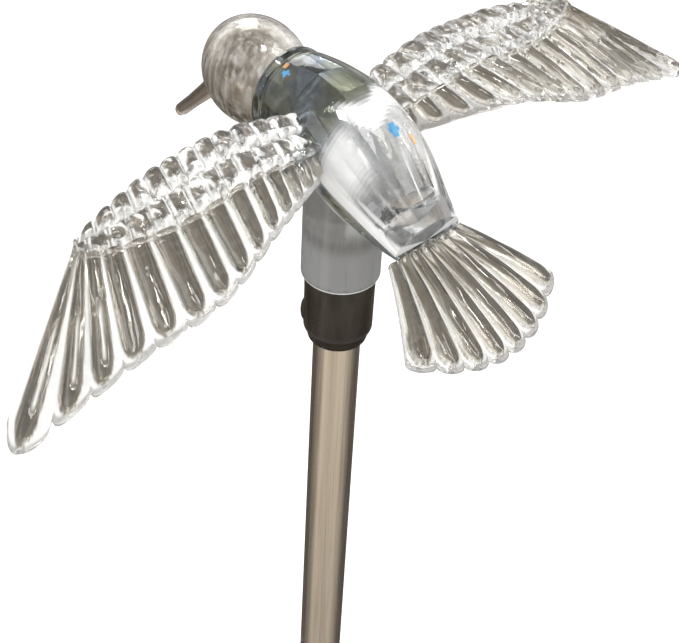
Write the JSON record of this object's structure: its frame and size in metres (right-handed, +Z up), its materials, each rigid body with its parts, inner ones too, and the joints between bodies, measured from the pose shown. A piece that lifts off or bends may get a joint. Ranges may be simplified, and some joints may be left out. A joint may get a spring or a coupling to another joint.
{
  "type": "solar garden stake light",
  "caption": "Clear moulded hummingbird on a thin steel stake with a ground spike, lit from below by an LED and charged by a tilting solar unit.",
  "frame": {"origin": "on the tube's axis at ground level, the underside of the spike's flange", "axes": "+Z up along the tube, the bird faces -Y, its left wing points to +X"},
  "size_m": [0.142, 0.1167, 0.4087],
  "materials": {
    "clear_acrylic": "clear moulded acrylic, glossy, ridged",
    "collar_plastic": "dark brown-black plastic, satin",
    "stainless_steel": "satin drawn stainless tube",
    "steel_fittings": "zinc-plated steel",
    "black_plastic": "fine-grained moulded plastic",
    "black_rubber": "soft rubber",
    "white_plastic": "white moulded plastic",
    "lens_resin": "clear cast resin",
    "solar_silicon": "dark blue silicon cells under resin",
    "board_green": "solder mask",
    "cell_wrap": "shrink wrap",
    "cable_sheath": "PVC sheath"
  },
  "bodies": {
    "spike": {"ground_spike": "black_plastic"},
    "stake": {"stake_tube": "stainless_steel", "tube_grommet": "black_rubber", "light_cable": "cable_sheath", "led_holder": "white_plastic", "led": "lens_resin", "pole_bracket": "black_plastic", "clamp_cap": "black_plastic", "clamp_screw_1": "steel_fittings", "clamp_screw_2": "steel_fittings"},
    "figure": {"collar": "collar_plastic", "socket_tube": "clear_acrylic", "body_shell": "clear_acrylic", "head_shell": "clear_acrylic", "beak": "clear_acrylic", "left_wing": "clear_acrylic", "right_wing": "clear_acrylic", "tail_fan": "clear_acrylic"},
    "solar_unit": {"panel_case": "black_plastic", "back_cover": "black_plastic", "seal_ring": "black_rubber", "cover_screw_1": "steel_fittings", "cover_screw_2": "steel_fittings", "cover_screw_3": "steel_fittings", "cover_screw_4": "steel_fittings", "solar_panel": "solar_silicon", "panel_window": "lens_resin", "control_board": "board_green", "switch_body": "black_plastic", "battery_cradle": "black_plastic", "battery_cell": "cell_wrap", "contact_spring": "steel_fittings", "contact_plate": "steel_fittings", "cable_gland": "black_rubber", "tilt_bolt": "steel_fittings"},
    "button": {"power_button": "black_rubber"},
    "knob": {"tilt_knob": "black_plastic"}
  },
  "joints": [
    {"name": "tube_lift", "type": "slide", "parent": "spike", "child": "stake", "axis": [0, 0, 1], "range_m": [0, 0.03]},
    {"name": "figure_turn", "type": "hinge", "parent": "stake", "child": "figure", "pos_m": [0, 0, 0.262], "axis": [0, 0, 1], "range_deg": [-170, 170]},
    {"name": "panel_tilt", "type": "hinge", "parent": "stake", "child": "solar_unit", "pos_m": [0, -0.016, 0.086], "axis": [1, 0, 0], "range_deg": [-35, 30]},
    {"name": "power_button_press", "type": "slide", "parent": "solar_unit", "child": "button", "axis": [0, -0.5736, 0.8192], "range_m": [0, 0.0012], "stiffness_N_per_m": 500},
    {"name": "tilt_knob_turn", "type": "hinge", "parent": "solar_unit", "child": "knob", "pos_m": [0, -0.016, 0.086], "axis": [1, 0, 0], "range_deg": [0, 360]}
  ]
}
